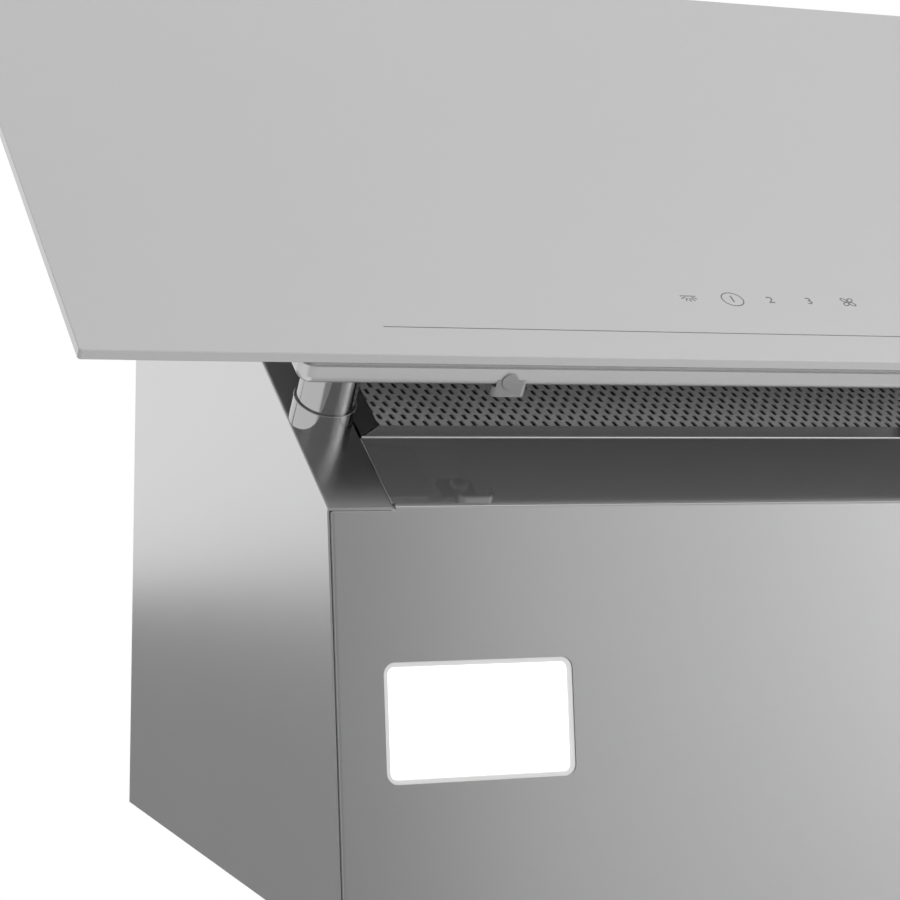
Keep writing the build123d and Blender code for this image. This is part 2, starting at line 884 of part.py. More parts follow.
def wheel_disc():
    """The wheel's middle disc and hub."""
    y, z = -blower_axis_depth, blower_z
    disc = rod_x(-wheel_sheet / 2, wheel_sheet / 2, y, z, wheel_inner_radius)
    disc += rod_x(0, hub_length, y, z, hub_radius)
    return disc - rod_x(-half_width, half_width, y, z, shaft_radius + shaft_fit)


def impeller():
    """Double-inlet wheel: blades between two end rings and a ring round the disc."""
    y, z = -blower_axis_depth, blower_z
    wheel = rod_x(-wheel_sheet / 2, wheel_sheet / 2, y, z, wheel_radius)
    for end in (-1, 1):
        middle = end * (wheel_half_width - wheel_ring / 2)
        wheel += rod_x(middle - wheel_ring / 2, middle + wheel_ring / 2, y, z, wheel_radius)
    wheel -= rod_x(-half_width, half_width, y, z, wheel_inner_radius)
    depth = wheel_radius - wheel_inner_radius - blade_thickness
    blade = Rot(blade_angle, 0, 0) * Box(2 * wheel_half_width, blade_thickness, depth)
    blade = Pos(0, 0, (wheel_radius + wheel_inner_radius) / 2) * blade
    centre = Pos(0, y, z)
    blades = [centre * Rot(360 * n / blade_count, 0, 0) * blade for n in range(blade_count)]
    return wheel.fuse(*blades)


# Duct collar and flaps

base_top = z_top + duct_base_sheet
flap_z = z_top + flap_height
bore_radius = duct_radius - duct_wall


def duct_base():
    """Square plate on the top panel that carries the duct collar."""
    reach_x = blower_half_width + duct_base_margin
    reach_y = outlet_width / 2 + duct_base_margin
    base = rounded_block(
        2 * reach_x, 2 * reach_y, duct_base_corner, z_top, base_top, 0, -outlet_middle
    )
    base -= rod(0, -outlet_middle, z_top - flange, base_top, bore_radius)
    for x, y in duct_screw_places():
        base -= rod(x, y, z_top - flange, base_top, screw_radius + screw_gap)
    return base


def duct_collar():
    """Round spigot for the duct, on the base plate, with a seat for the flaps."""
    y = -outlet_middle
    spigot = tube(0, y, base_top, z_top + duct_height, duct_radius, bore_radius)
    seat_top = flap_z - flap_thickness / 2 - flap_seat_gap
    seat_bottom = seat_top - flap_seat_thickness
    spigot += tube(0, y, seat_bottom, seat_top, duct_radius, bore_radius - flap_seat_width)
    for side in (-1, 1):
        axis_y = y + side * flap_pin_spread
        spigot -= rod_x(-half_width, half_width, axis_y, flap_z, flap_pin_radius)
    return spigot


def flap_pin_half():
    """Half the length of a flap's pin, from wall to wall of the spigot."""
    return math.sqrt(duct_radius**2 - flap_pin_spread**2)


def flap_pins():
    """The two hinge pins across the spigot."""
    reach = flap_pin_half()
    pair = [
        rod_x(-reach, reach, -outlet_middle + side * flap_pin_spread, flap_z, flap_pin_radius)
        for side in (-1, 1)
    ]
    return Compound(children=pair)


def flap(side):
    """Half-round flap with two knuckles on its pin. side is -1 for the room's half and 1 for the wall's."""
    axis_y = -outlet_middle + side * flap_pin_spread
    disc = rod(
        0,
        -outlet_middle,
        flap_z - flap_thickness / 2,
        flap_z + flap_thickness / 2,
        bore_radius - flap_clearance,
    )
    start = axis_y + side * (knuckle_radius - flap_thickness)
    far = start + side * duct_radius
    keep = block(-duct_radius, duct_radius, min(start, far), max(start, far), flap_z - 1, flap_z + 1)
    leaf = disc & keep
    for middle in (-knuckle_at, knuckle_at):
        x0, x1 = middle - knuckle_length / 2, middle + knuckle_length / 2
        leaf += rod_x(x0, x1, axis_y, flap_z, knuckle_radius)
    return leaf - rod_x(-duct_radius, duct_radius, axis_y, flap_z, flap_pin_radius + running_gap)


def outlet_screws():
    """Screws through the collar's base, the top and the blower's lip."""
    screws = []
    for x, y in duct_screw_places():
        head = rod(x, y, base_top, base_top + screw_head, screw_head_radius)
        screws.append(head + rod(x, y, base_top - screw_length, base_top, screw_radius))
    return Compound(children=screws)


# Electrics


def control_box():
    """Open box on the back panel."""
    x0, x1 = box_left, box_left + box_width
    z0, z1 = box_bottom, box_bottom + box_height
    y0, y1 = -sheet - box_depth, -sheet
    box = block(x0, x1, y0, y1, z0, z1)
    wall = box_wall
    return box - block(x0 + wall, x1 - wall, y0, y1 - wall, z0 + wall, z1 - wall)


def control_box_lid():
    """Lid of the control box."""
    y1 = -sheet - box_depth
    lid = block(box_left, box_left + box_width, y1 - box_wall, y1, box_bottom, box_bottom + box_height)
    return lid


def board_inner():
    """The control board's outline and its front face."""
    margin = box_wall + board_margin
    x0, x1 = box_left + margin, box_left + box_width - margin
    z0, z1 = box_bottom + margin, box_bottom + box_height - margin
    y1 = -sheet - box_wall - board_stand
    return x0, x1, y1 - board_thickness, y1, z0, z1


def control_board():
    """Control board on four posts."""
    x0, x1, y0, y1, z0, z1 = board_inner()
    board = block(x0, x1, y0, y1, z0, z1)
    for x in (x0 + board_margin, x1 - board_margin):
        for z in (z0 + board_margin, z1 - board_margin):
            post = Pos(x, y1 + board_stand / 2, z) * Rot(90, 0, 0)
            board += post * Cylinder(board_stand / 2, board_stand)
    return board


def terminal_block():
    """Supply terminals on the board."""
    x0, x1, y0, _, z0, z1 = board_inner()
    z_high = z1 - terminal_margin
    x_low = x0 + terminal_margin
    return block(
        x_low, x_low + terminal_width, y0 - terminal_depth, y0, z_high - terminal_height, z_high
    )


def run_capacitor():
    """The motor's round capacitor, lying on the board."""
    x0, x1, y0, _, z0, _ = board_inner()
    radius = terminal_depth / 2
    z = z0 + terminal_margin + radius
    can = rod_x(x0 + terminal_margin, x0 + terminal_margin + terminal_width, y0 - radius, z, radius)
    foot_end = x0 + terminal_margin + terminal_width
    foot = block(x0 + terminal_margin, foot_end, y0 - radius, y0, z - radius / 2, z + radius / 2)
    return can + foot


def cable_gland():
    """Gland in the top panel where the supply cable goes in."""
    x, y = gland_at, -gland_depth_at
    gland = rod(x, y, z_top - gland_tail, z_top + gland_nut_height + gland_top, gland_radius)
    gland += rod(x, y, z_top, z_top + gland_nut_height, gland_nut_radius)
    nut_top = z_top - sheet
    gland += rod(x, y, nut_top - gland_nut_height, nut_top, gland_nut_radius)
    return gland - rod(x, y, z_bottom, z_top + spare, gland_bore)


def both_sides(name, shape):
    """A left piece and its mirror image under their own names."""
    return {f"{name}_left": shape, f"{name}_right": mirrored(shape)}


def all_pieces():
    """Every node's name and shape."""
    pieces = {
        "back_panel": back_panel(),
        "top_panel": top_panel(),
        "underside_panel": underside_panel(),
        "front_upper_panel": front_upper_panel(),
        "filter_magnets": filter_magnets(),
        "filter_frame": filter_frame(),
        "filter_face": filter_face(),
        "filter_mesh": filter_mesh(),
        "filter_back": filter_back(),
        "support_tray": support_tray(),
        "glass_frame": glass_frame(),
        "glass_panel": glass_panel(),
        "touch_board": touch_board(),
        "touch_carrier": touch_carrier(),
        "catch_buttons": catch_buttons(),
        "catch_screws": catch_screws(),
        "blower_scroll": blower_scroll(),
        "motor_bracket": motor_bracket(),
        "motor_body": motor_body(),
        "motor_shaft": motor_shaft(),
        "wheel_disc": wheel_disc(),
        "impeller": impeller(),
        "duct_base": duct_base(),
        "duct_collar": duct_collar(),
        "flap_pins": flap_pins(),
        "flap_front": flap(-1),
        "flap_rear": flap(1),
        "outlet_screws": outlet_screws(),
        "control_box": control_box(),
        "control_box_lid": control_box_lid(),
        "control_board": control_board(),
        "terminal_block": terminal_block(),
        "run_capacitor": run_capacitor(),
        "cable_gland": cable_gland(),
    }
    pieces |= both_sides("side_panel", side_panel())
    pieces |= both_sides("filter_hinge_ear", filter_hinge_ear())
    pieces |= both_sides("blower_side", blower_side())
    pieces |= both_sides("catch_strip", catch_strip())
    pieces |= both_sides("guide_rail", guide_rail())
    for level, v in (("lower", lower_tube_at), ("upper", upper_tube_at)):
        pieces |= both_sides(f"guide_collar_{level}", guide_collar(v))
        pieces |= both_sides(f"lift_tube_{level}", lift_tube(v))
    for name, shape in (
        ("led_bezel", led_bezel()),
        ("led_diffuser", led_diffuser()),
        ("led_housing", led_housing()),
        ("led_board", led_board()),
    ):
        pieces |= both_sides(name, shape)
    return pieces


os.makedirs("parts", exist_ok=True)
for node, piece in all_pieces().items():
    export_step(piece, f"parts/{node}.step")
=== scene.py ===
import json
import math

import bpy
from mathutils import Matrix, Vector


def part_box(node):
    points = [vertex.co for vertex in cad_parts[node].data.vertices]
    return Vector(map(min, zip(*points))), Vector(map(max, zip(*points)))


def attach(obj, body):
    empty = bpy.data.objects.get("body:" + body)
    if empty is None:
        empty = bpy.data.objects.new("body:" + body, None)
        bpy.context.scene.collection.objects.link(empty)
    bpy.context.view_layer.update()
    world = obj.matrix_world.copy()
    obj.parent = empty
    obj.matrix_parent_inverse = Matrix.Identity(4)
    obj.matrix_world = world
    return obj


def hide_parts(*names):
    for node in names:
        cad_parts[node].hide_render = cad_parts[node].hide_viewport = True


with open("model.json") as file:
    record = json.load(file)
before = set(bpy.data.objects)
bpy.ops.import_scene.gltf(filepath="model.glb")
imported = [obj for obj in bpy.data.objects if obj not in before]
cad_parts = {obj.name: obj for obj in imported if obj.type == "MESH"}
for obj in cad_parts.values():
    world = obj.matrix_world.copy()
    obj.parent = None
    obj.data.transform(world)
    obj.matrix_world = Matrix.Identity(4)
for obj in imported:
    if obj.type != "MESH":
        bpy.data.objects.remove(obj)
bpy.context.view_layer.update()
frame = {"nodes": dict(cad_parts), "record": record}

bl_info = {
    "name": "Wall mount range hood",
    "version": (1, 0, 0),
    "blender": (4, 5, 0),
    "location": "View3D > Sidebar > Range hood",
    "description": "Dresses the packed range hood and sets up its studio",
    "category": "Object",
}

MM = 0.001
MERGE = 0.001 * MM
NEAR = 0.01 * MM

# The slanted front's own axes, with x to the right, y up the slant and z out of the front.
FRONT_EDGE = Vector((0.0, -0.239, -0.181))
FRONT_RISE = Vector((0.0, -0.258, 0.398)).normalized()
FRONT_OUT = Vector((1.0, 0.0, 0.0)).cross(FRONT_RISE)
FRONT = Matrix.Translation(FRONT_EDGE) @ Matrix(
    ((1.0, 0.0, 0.0), FRONT_RISE, FRONT_OUT)
).transposed().to_4x4()


def front_span(node):
    """A node's lowest and highest corner along the slanted front's own axes."""
    back = FRONT.inverted()
    points = [back @ v.co for v in frame["nodes"][node].data.vertices]
    low = Vector(min(p[i] for p in points) for i in range(3))
    high = Vector(max(p[i] for p in points) for i in range(3))
    return low, high


FACE_LOW, FACE_HIGH = front_span("filter_face")
GLASS_FRONT = front_span("glass_panel")[1].z

# Where a finish changes within one node: the width of the painted highlight along the filter's rim, the
# height at which the pan turns up in front, and how far the tubes' foot plates start behind the front of
# the catch strips.
PAINTED_HIGHLIGHT_WIDTH = 1.2 * MM
PAN_TURN_HEIGHT = 2.5 * MM
FOOT_BEHIND_CATCH = 7.6 * MM

# Nodes whose finish differs a little from their slot's
OWN_FINISHES = {
    "filter_frame": "filter_rim",
    "underside_panel": "pan_steel",
    "glass_frame": "frame_steel",
    "catch_buttons": "catch_steel",
    "catch_strip_left": "catch_steel",
    "catch_strip_right": "catch_steel",
    "lift_tube_lower_left": "tube_steel",
    "lift_tube_lower_right": "tube_steel",
    "lift_tube_upper_left": "tube_steel",
    "lift_tube_upper_right": "tube_steel",
}

# Sheet finishes: a slow change over large sheets, and bare metal without relief. Satin roughness
# near 0.27 leaves stray lines in the denoised picture.
SATIN_ROUGHNESS = 0.258
ROUGHNESS_SPREAD = 0.05
SHEET = {"scale": 9.0, "depth": 0}
FINE_SHARE = 0.6
# Painted highlight: the pale colour of the bands along the filter frame's upper and lower edges, standing
# for light caught on their rounding.
RIM_PAINTED_HIGHLIGHT = (0.95, 0.95, 0.95)

# Print on the glass: where each symbol stands across it, the strokes, and the parts of the symbols
NUMBERS = {"1": -26.7 * MM, "2": 0.0, "3": 27.5 * MM}
STROKE = 0.75 * MM
RING_RADIUS = 7.6 * MM
LAMP_SYMBOL_AT = -56.8 * MM
LAMP_SYMBOL_LIFT = 2.4 * MM
LAMP_SYMBOL_LENGTH = 11.0 * MM
RAY_TURNS = (-60, -30, 0, 30, 60)
RAY_AT = 4.4 * MM
RAY_LENGTH = 3.8 * MM
FAN_SYMBOL_AT = 55.5 * MM
FAN_TURNS = (45, 135, 225, 315)
BLADE_AT = 3.1 * MM
BLADE_RADIUS = 2.7 * MM
BLADE_SQUEEZE = 0.7
CAPITAL_HEIGHT = 0.7

# Screws
CATCH_HEAD_HEIGHT = 2.5 * MM
CATCH_SHANK_RADIUS = 1.9 * MM
OUTLET_HEAD_RADIUS = 4.0 * MM
OUTLET_HEAD_HEIGHT = 2.4 * MM
OUTLET_SHANK_RADIUS = 2.0 * MM
SMOOTH_ANGLE = 30

# Studio: lamps with their place, aim, width, height and share of the power, and grey cards with
# their place, width, depth and shade
LAMPS = {
    "lamp_room": ((-1.4, -2.4, 1.6), (0, -0.3, 0), 1.6, 1.6, 1.0),
    "lamp_low": ((0.35, -0.45, -1.6), (0, -0.3, -0.1), 0.9, 0.7, 0.4),
    "lamp_floor": ((2.1, -0.7, -0.9), (1.8, -0.6, -1.9), 0.8, 0.8, 0.8),
}
CARDS = {
    "studio_card_high": ((-1.1, 0.80, 1.9), 1.8, 1.5, 0.52),
    "studio_card_low": ((-0.48, -0.45, -1.2), 1.3, 1.4, 0.4),
}
MATT = 0.9

# Camera, fitted to the photograph: its place, its own axes, and its lens
CAMERA_PLACE = (-0.77169, -0.34771, -1.4627)
CAMERA_RIGHT = Vector((0.92385407, -0.02211347, -0.38210556))
CAMERA_DOWN = Vector((-0.00075918, 0.99822174, -0.0596053))
CAMERA_AHEAD = Vector((0.38274415, 0.05535669, 0.92219442))
CAMERA_LENS = 99.5
CAMERA_SENSOR = 36.0


# Sizes and colours that a user would change


def size(name, about, default):
    """A length in metres."""
    return bpy.props.FloatProperty(
        name=name, description=about, default=default, unit="LENGTH", precision=4
    )


def colour(name, about, default):
    """A colour, linear."""
    return bpy.props.FloatVectorProperty(
        name=name, description=about, default=default, subtype="COLOR", size=3, min=0.0, max=1.0
    )


class HoodSizes(bpy.types.PropertyGroup):
    """Sizes of the pieces that are added to the frame"""

    slot_pitch_across: size("Slot pitch across", "Between slots of a row", 7.75 * MM)
    slot_pitch_up: size("Slot pitch up", "Between rows that line up", 12.9 * MM)
    slot_width: size("Slot width", "Across one slot", 2.8 * MM)
    slot_length: size("Slot length", "Along one slot", 6.3 * MM)
    slot_tilt: bpy.props.FloatProperty(
        name="Slot tilt", description="Lean of each slot", default=math.radians(9.5), subtype="ANGLE"
    )
    first_row: size("First row", "Height of a row of slots up the front", 86.6 * MM)
    print_height: size("Symbol height", "Height of the printed numbers", 7.0 * MM)
    print_at: size("Symbol place", "Height of the symbols up the front", 121.0 * MM)
    line_at: size("Line place", "Height of the printed line up the front", 83.0 * MM)
    line_half: size("Line half length", "Half the printed line's length", 268.0 * MM)
    line_width: size("Line width", "Width of the printed line", 0.65 * MM)
    print_thickness: size("Ink thickness", "Thickness of the print", 0.08 * MM)


class HoodFinishes(bpy.types.PropertyGroup):
    """Colours of the finishes"""

    steel: colour("Steel", "Satin steel of the body", (0.6, 0.6, 0.602))
    polished_steel: colour("Polished steel", "Tray, its frame and upper panel", (0.66, 0.66, 0.662))
    bright_steel: colour("Bright steel", "Tubes and collars", (0.43, 0.43, 0.432))
    plain_steel: colour("Plain steel", "Bare sheet inside and at the back", (0.42, 0.425, 0.43))
    filter_steel: colour("Filter steel", "Filter face", (0.68, 0.68, 0.682))
    catch_steel: colour("Catch steel", "Catch strips and buttons", (0.42, 0.42, 0.422))
    # Painted shade: a dark tone for the filter's recessed polished surround and for the mesh seen behind
    # its slots.
    steel_in_painted_shade: colour("Rim steel", "Polished surround of the filter", (0.12, 0.12, 0.121))
    paint: colour("Glass paint", "Paint on the back of the glass", (0.52, 0.521, 0.521))
    ink: colour("Ink", "Symbols and line on the glass", (0.16, 0.16, 0.165))
    lens: colour("Lens", "Lamp lens", (0.9, 0.9, 0.9))
    moulding: colour("Pale moulding", "Lamp bezels and pale plastics", (0.72, 0.72, 0.715))
    dark_moulding: colour("Dark moulding", "Wheel, gland and carrier", (0.035, 0.035, 0.038))
    board: colour("Board", "Circuit boards", (0.035, 0.13, 0.06))
    magnet: colour("Magnet", "Magnets that hold the filter", (0.03, 0.03, 0.032))
    motor: colour("Motor", "Motor casing", (0.05, 0.052, 0.055))


class HoodStudio(bpy.types.PropertyGroup):
    """Floor and lamps"""

    floor_level: size("Floor level", "Height of the floor", -1.9)
    ambient: bpy.props.FloatProperty(
        name="Ambient", description="Strength of the light from all round", default=0.55
    )
    lamp_power: bpy.props.FloatProperty(
        name="Lamp power", description="Power of the main lamp", default=32.0, unit="POWER"
    )


# Modelling helpers


def deselect():
    """Leaves nothing selected or active."""
    if bpy.context.object and bpy.context.object.mode != "OBJECT":
        bpy.ops.object.mode_set(mode="OBJECT")
    bpy.ops.object.select_all(action="DESELECT")
    bpy.context.view_layer.objects.active = None


def take(*objs):
    """Selects these objects alone. The first is active."""
    deselect()
    for obj in objs:
        obj.select_set(True)
    bpy.context.view_layer.objects.active = objs[0]
    return objs[0]


def pick(obj, kind, test):
    """In edit mode, selects an object's vertices, edges or polygons that pass a test."""
    bpy.ops.object.mode_set(mode="OBJECT")
    mesh = obj.data
    for part in (mesh.vertices, mesh.edges, mesh.polygons):
        part.foreach_set("select", [False] * len(part))
    modes = {"vertices": (True, False, False), "edges": (False, True, False)}
    modes["polygons"] = (False, False, True)
    bpy.context.tool_settings.mesh_select_mode = modes[kind]
    for item in getattr(mesh, kind):
        if test(item):
            item.select = True
    bpy.ops.object.mode_set(mode="EDIT")


def pick_all():
    """In edit mode, selects everything."""
    bpy.ops.mesh.select_all(action="SELECT")


def tidy(obj):
    """Merges doubles, turns the faces outwards and goes back to object mode."""
    bpy.ops.object.mode_set(mode="EDIT")
    pick_all()
    bpy.ops.mesh.remove_doubles(threshold=MERGE)
    bpy.ops.mesh.normals_make_consistent(inside=False)
    bpy.ops.object.mode_set(mode="OBJECT")
    return obj


def apply_modifier(obj, kind, **settings):
    """Adds a modifier with these settings and applies it."""
    take(obj)
    modifier = obj.modifiers.new(kind.title(), kind)
    for key, value in settings.items():
        setattr(modifier, key, value)
    bpy.ops.object.modifier_apply(modifier=modifier.name)
    return obj


def settle(obj, place=None):
    """Puts an object in its place, then moves the place into its mesh."""
    take(obj)
    if place is not None:
        obj.matrix_world = place @ obj.matrix_world
    bpy.ops.object.transform_apply(location=True, rotation=True, scale=True)
    return obj


def copied(obj, place):
    """A copy with its own mesh, settled in another place."""
    take(obj)
    bpy.ops.object.duplicate(linked=False)
    return settle(bpy.context.object, place)


def joined(name, objs):
    """Several objects as one, under a name."""
    take(*objs)
    if len(objs) > 1:
        bpy.ops.object.join()
    obj = bpy.context.object
    obj.name = obj.data.name = name
    return obj


def finish_piece(obj, name, body, material, smooth=None):
    """Names a piece, gives it its finish and lets it ride on its body."""
    obj.name = obj.data.name = name
    obj.data.materials.clear()
    obj.data.materials.append(material)
    if smooth is not None:
        take(obj)
        bpy.ops.object.shade_smooth_by_angle(angle=math.radians(smooth))
    deselect()
    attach(obj, body)
    return obj


# Effects that several finishes share, as node groups


def new_group(name, inputs, outputs):
    """An empty shader node group with named inputs and outputs."""
    group = bpy.data.node_groups.new(name, "ShaderNodeTree")
    for label, kind, value in inputs:
        socket = group.interface.new_socket(label, in_out="INPUT", socket_type=kind)
        if value is not None:
            socket.default_value = value
    for label, kind in outputs:
        group.interface.new_socket(label, in_out="OUTPUT", socket_type=kind)
    return group, group.nodes.new("NodeGroupInput"), group.nodes.new("NodeGroupOutput")


def node(tree, kind, **settings):
    """A node with these settings. Keys that name inputs set their values."""
    made = tree.nodes.new(kind)
    for key, value in settings.items():
        label = key.replace("_", " ").title()
        if hasattr(made, key):
            setattr(made, key, value)
        else:
            made.inputs[label].default_value = value
    return made


def math_node(tree, operation, a, b):
    """A Math node that joins two sockets or numbers."""
    made = node(tree, "ShaderNodeMath", operation=operation)
    for index, value in enumerate((a, b)):
        if isinstance(value, (int, float)):
            made.inputs[index].default_value = value
        else:
            tree.links.new(value, made.inputs[index])
    return made.outputs[0]


def spread(tree, value, low, high):
    """A 0 to 1 value carried to a range, whose ends are sockets or numbers."""
    made = node(tree, "ShaderNodeMapRange")
    tree.links.new(value, made.inputs["Value"])
    for label, end in (("To Min", low), ("To Max", high)):
        if isinstance(end, (int, float)):
            made.inputs[label].default_value = end
        else:
            tree.links.new(end, made.inputs[label])
    return made.outputs["Result"]


def grain_group():
    """Fine drawn-out grain with slow blotches, for sheet metal and moulded plastic."""
    group, given, out = new_group(
        "sheet_grain",
        [
            ("Vector", "NodeSocketVector", None),
            ("Color", "NodeSocketColor", (0.5, 0.5, 0.5, 1.0)),
            ("Grain Scale", "NodeSocketFloat", 900.0),
            ("Stretch", "NodeSocketVector", (1.0, 1.0, 1.0)),
            ("Color Change", "NodeSocketFloat", 0.03),
            ("Roughness", "NodeSocketFloat", 0.3),
            ("Roughness Change", "NodeSocketFloat", 0.05),
        ],
        [("Color", "NodeSocketColor"), ("Roughness", "NodeSocketFloat"), ("Height", "NodeSocketFloat")],
    )
    link = group.links.new
    drawn = node(group, "ShaderNodeVectorMath", operation="MULTIPLY")
    link(given.outputs["Vector"], drawn.inputs[0])
    link(given.outputs["Stretch"], drawn.inputs[1])
    fine = node(group, "ShaderNodeTexNoise", detail=3.0, roughness=0.6)
    link(drawn.outputs[0], fine.inputs["Vector"])
    link(given.outputs["Grain Scale"], fine.inputs["Scale"])
    slow = node(group, "ShaderNodeTexNoise", scale=9.0, detail=2.0)
    link(given.outputs["Vector"], slow.inputs["Vector"])
    fine_part = math_node(group, "MULTIPLY", fine.outputs["Fac"], FINE_SHARE)
    slow_part = math_node(group, "MULTIPLY", slow.outputs["Fac"], 1.0 - FINE_SHARE)
    both = math_node(group, "ADD", fine_part, slow_part)
    change = given.outputs["Color Change"]
    darkest = math_node(group, "SUBTRACT", 1.0, change)
    palest = math_node(group, "ADD", 1.0, change)
    tint = spread(group, both, darkest, palest)
    toned = node(group, "ShaderNodeVectorMath", operation="SCALE")
    link(given.outputs["Color"], toned.inputs[0])
    link(tint, toned.inputs["Scale"])
    link(toned.outputs[0], out.inputs["Color"])
    rough, step = given.outputs["Roughness"], given.outputs["Roughness Change"]
    smoothest = math_node(group, "SUBTRACT", rough, step)
    roughest = math_node(group, "ADD", rough, step)
    link(spread(group, both, smoothest, roughest), out.inputs["Roughness"])
    link(fine.outputs["Fac"], out.inputs["Height"])
    return group


def weave_group():
    """Expanded metal mesh: crossing ridges, with painted shade darkening the gaps between them."""
    group, given, out = new_group(
        "wire_weave",
        [("Vector", "NodeSocketVector", None), ("Pitch", "NodeSocketFloat", 0.003)],
        [("Mask", "NodeSocketFloat"), ("Height", "NodeSocketFloat")],
    )
    link = group.links.new
    ridges = []
    for turn in (math.radians(35), math.radians(-35)):
        turned = node(group, "ShaderNodeVectorRotate", rotation_type="X_AXIS")
        turned.inputs["Angle"].default_value = turn
        link(given.outputs["Vector"], turned.inputs["Vector"])
        split = node(group, "ShaderNodeSeparateXYZ")
        link(turned.outputs[0], split.inputs[0])
        along = math_node(group, "ADD", split.outputs["X"], split.outputs["Z"])
        along = math_node(group, "DIVIDE", along, given.outputs["Pitch"])
        wave = math_node(group, "SINE", math_node(group, "MULTIPLY", along, math.tau), 0.0)
        ridges.append(math_node(group, "ABSOLUTE", wave, 0.0))
    height = math_node(group, "MAXIMUM", ridges[0], ridges[1])
    link(height, out.inputs["Height"])
    # Mask of the ridges; where it falls below 1 it lets in the painted shade of the gaps.
    mask = math_node(group, "POWER", height, 3.0)
    link(mask, out.inputs["Mask"])
    return group


def track_group():
    """Circuit board: copper tracks and solder dots over the board's colour."""
    group, given, out = new_group(
        "board_tracks",
        [("Vector", "NodeSocketVector", None), ("Color", "NodeSocketColor", (0.05, 0.2, 0.1, 1.0))],
        [("Color", "NodeSocketColor"), ("Height", "NodeSocketFloat")],
    )
    link = group.links.new
    cells = node(group, "ShaderNodeTexVoronoi", feature="F1", distance="CHEBYCHEV", scale=220.0)
    link(given.outputs["Vector"], cells.inputs["Vector"])
    dots = math_node(group, "LESS_THAN", cells.outputs["Distance"], 0.16)
    lines = node(group, "ShaderNodeTexBrick", scale=60.0)
    lines.inputs["Mortar Size"].default_value = 0.03
    link(given.outputs["Vector"], lines.inputs["Vector"])
    light = node(group, "ShaderNodeMix", data_type="RGBA")
    link(lines.outputs["Fac"], light.inputs["Factor"])
    link(given.outputs["Color"], light.inputs["A"])
    light.inputs["B"].default_value = (0.1, 0.24, 0.13, 1.0)
    solder = node(group, "ShaderNodeMix", data_type="RGBA")
    link(dots, solder.inputs["Factor"])
    link(light.outputs["Result"], solder.inputs["A"])
    solder.inputs["B"].default_value = (0.6, 0.6, 0.58, 1.0)
    link(solder.outputs["Result"], out.inputs["Color"])
    link(math_node(group, "MAXIMUM", dots, lines.outputs["Fac"]), out.inputs["Height"])
    return group


# Finishes


def finish(name):
    """A finish made here. The frame's own materials have the slots' bare names."""
    return bpy.data.materials[f"hood_{name}"]


def new_material(name):
    """A material with a Principled shader and Object coordinates."""
    material = bpy.data.materials.new(f"hood_{name}")
    material.use_nodes = True
    tree = material.node_tree
    shader = tree.nodes["Principled BSDF"]
    place = tree.nodes.new("ShaderNodeTexCoord").outputs["Object"]
    return material, tree, shader, place


def bump(tree, shader, height, distance, strength=0.4):
    """Height of a surface as a bump on the shader."""
    made = node(tree, "ShaderNodeBump", strength=strength, distance=distance)
    tree.links.new(height, made.inputs["Height"])
    tree.links.new(made.outputs["Normal"], shader.inputs["Normal"])


def grained(
    name, tint, roughness, change=0.03, stretch=(1, 1, 1), scale=900.0, depth=0.00001, **shader_values
):
    """A finish with the shared grain, as a relief too unless its depth is 0."""
    material, tree, shader, place = new_material(name)
    grain = tree.nodes.new("ShaderNodeGroup")
    grain.node_tree = bpy.data.node_groups["sheet_grain"]
    tree.links.new(place, grain.inputs["Vector"])
    grain.inputs["Color"].default_value = (*tint, 1.0)
    grain.inputs["Grain Scale"].default_value = scale
    grain.inputs["Stretch"].default_value = stretch
    grain.inputs["Color Change"].default_value = change
    grain.inputs["Roughness"].default_value = roughness
    grain.inputs["Roughness Change"].default_value = roughness * ROUGHNESS_SPREAD
    tree.links.new(grain.outputs["Color"], shader.inputs["Base Color"])
    tree.links.new(grain.outputs["Roughness"], shader.inputs["Roughness"])
    if depth:
        bump(tree, shader, grain.outputs["Height"], depth)
    for label, value in shader_values.items():
        shader.inputs[label.replace("_", " ").title()].default_value = value
    return material


def lens_material(tint):
    """White lens that is lit from behind, a little brighter over its light sources."""
    material, tree, shader, place = new_material("lamp_lens")
    spots = node(tree, "ShaderNodeTexVoronoi", scale=45.0, feature="SMOOTH_F1")
    tree.links.new(place, spots.inputs["Vector"])
    glow = node(tree, "ShaderNodeMix", data_type="RGBA")
    glow.inputs["A"].default_value = (1.0, 1.0, 1.0, 1.0)
    glow.inputs["B"].default_value = (0.95, 0.95, 0.95, 1.0)
    tree.links.new(spots.outputs["Distance"], glow.inputs["Factor"])
    tree.links.new(glow.outputs["Result"], shader.inputs["Emission Color"])
    shader.inputs["Emission Strength"].default_value = 0.75
    shader.inputs["Base Color"].default_value = (*tint, 1.0)
    fine = node(tree, "ShaderNodeTexNoise", scale=1500.0)
    tree.links.new(place, fine.inputs["Vector"])
    tree.links.new(spread(tree, fine.outputs["Fac"], 0.3, 0.45), shader.inputs["Roughness"])
    return material


def weave_material(tint):
    """Aluminium mesh layers, tinted dark as painted shade, with painted shade in the gaps between the
    ridges.
    """
    material, tree, shader, place = new_material("filter_wire")
    weave = tree.nodes.new("ShaderNodeGroup")
    weave.node_tree = bpy.data.node_groups["wire_weave"]
    tree.links.new(place, weave.inputs["Vector"])
    shade = node(tree, "ShaderNodeMix", data_type="RGBA")
    tree.links.new(weave.outputs["Mask"], shade.inputs["Factor"])
    # Painted shade: near black in the gaps between the ridges.
    shade.inputs["A"].default_value = (0.01, 0.01, 0.01, 1.0)
    shade.inputs["B"].default_value = (*tint, 1.0)
    tree.links.new(shade.outputs["Result"], shader.inputs["Base Color"])
    tree.links.new(spread(tree, weave.outputs["Mask"], 0.6, 0.35), shader.inputs["Roughness"])
    shader.inputs["Metallic"].default_value = 1.0
    bump(tree, shader, weave.outputs["Height"], 0.0008, 1.0)
    return material


